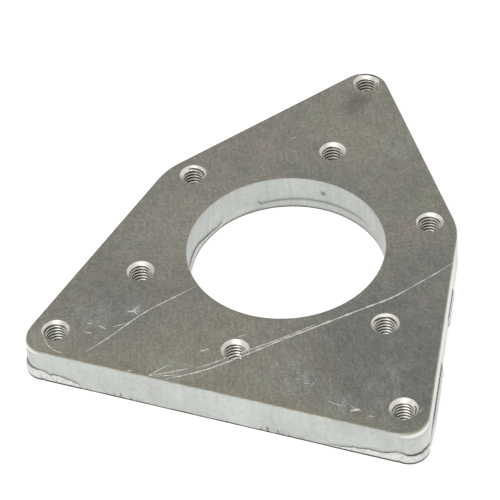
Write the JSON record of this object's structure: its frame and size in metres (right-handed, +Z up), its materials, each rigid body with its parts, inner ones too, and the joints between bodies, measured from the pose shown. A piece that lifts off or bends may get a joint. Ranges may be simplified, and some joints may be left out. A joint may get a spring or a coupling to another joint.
{
  "type": "motor mounting plate",
  "caption": "Flat house-shaped aluminium plate with a central motor pilot bore, tapped holes on a circle round it and tapped holes at the apex and base corners.",
  "frame": {"origin": "on the axis of the pilot bore, at the plate's underside", "axes": "+Y from the base to the apex, +X to the right seen from above, +Z up out of the motor face"},
  "size_m": [0.1034, 0.1225, 0.01],
  "materials": {
    "plate": "rolled mill finish, satin and stained, with scratches; blanked edges lighter"
  },
  "bodies": {
    "root": {"mounting_plate": "plate"}
  },
  "joints": []
}
